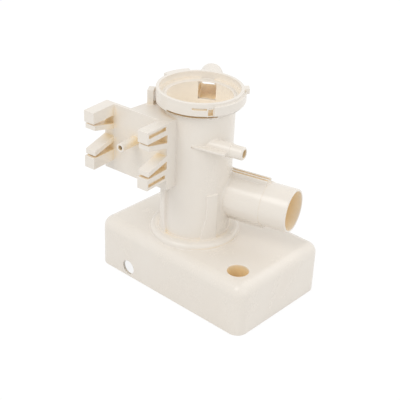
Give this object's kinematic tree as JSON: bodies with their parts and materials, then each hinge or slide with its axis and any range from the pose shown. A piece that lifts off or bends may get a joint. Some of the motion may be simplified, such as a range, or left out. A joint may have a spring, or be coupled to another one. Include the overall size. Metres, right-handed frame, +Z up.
{
  "type": "washer drain pump",
  "caption": "Upright washer drain pump: a filter chamber with a bayonet collar, hose spigots and a clip bracket on a rounded motor cover, with motor, rotor and impeller inside.",
  "frame": {"origin": "where the pump chamber's axis meets the plane of the cover's open base", "axes": "+X along the cover's long side towards the outlet, +Y along its short side towards the inlet, +Z up the chamber's axis"},
  "size_m": [0.133, 0.1072, 0.1453],
  "materials": {
    "cream_plastic": "satin moulded polypropylene",
    "grey_plastic": "satin",
    "white_plastic": "satin",
    "seal_rubber": "matte",
    "bearing_bronze": "sintered",
    "core_steel": "laminated",
    "coil_tape": "insulating tape over the winding",
    "terminal_brass": "plain",
    "screw_steel": "zinc plated",
    "ferrite": "matte"
  },
  "bodies": {
    "housing": {"motor_cover": "cream_plastic", "pump_chamber": "cream_plastic", "bayonet_collar": "cream_plastic", "outlet_spigot": "cream_plastic", "inlet_spigot": "cream_plastic", "pressure_nipple": "cream_plastic", "clip_bracket": "cream_plastic", "rotor_can": "grey_plastic", "can_seal": "seal_rubber", "bearing_cap": "grey_plastic", "lower_bearing": "bearing_bronze", "upper_bearing": "bearing_bronze", "shaft_seal": "seal_rubber", "stator_core": "core_steel", "front_bobbin": "white_plastic", "rear_bobbin": "white_plastic", "front_coil": "coil_tape", "rear_coil": "coil_tape", "terminal_block": "white_plastic", "terminal_blades": "terminal_brass", "core_screws": "screw_steel", "can_screws": "screw_steel"},
    "rotor": {"rotor_shaft": "screw_steel", "rotor_sleeve": "white_plastic", "rotor_magnet": "ferrite", "thrust_washers": "screw_steel", "drive_dog": "white_plastic", "retaining_clip": "screw_steel"},
    "impeller": {"impeller": "white_plastic"}
  },
  "joints": [
    {"name": "rotor_spin", "type": "hinge", "parent": "housing", "child": "rotor", "pos_m": [0, 0, 0.02], "axis": [0, 0, 1], "continuous": true},
    {"name": "impeller_play", "type": "hinge", "parent": "rotor", "child": "impeller", "pos_m": [0, 0, 0.05], "axis": [0, 0, 1], "range_deg": [-135, 135]}
  ]
}
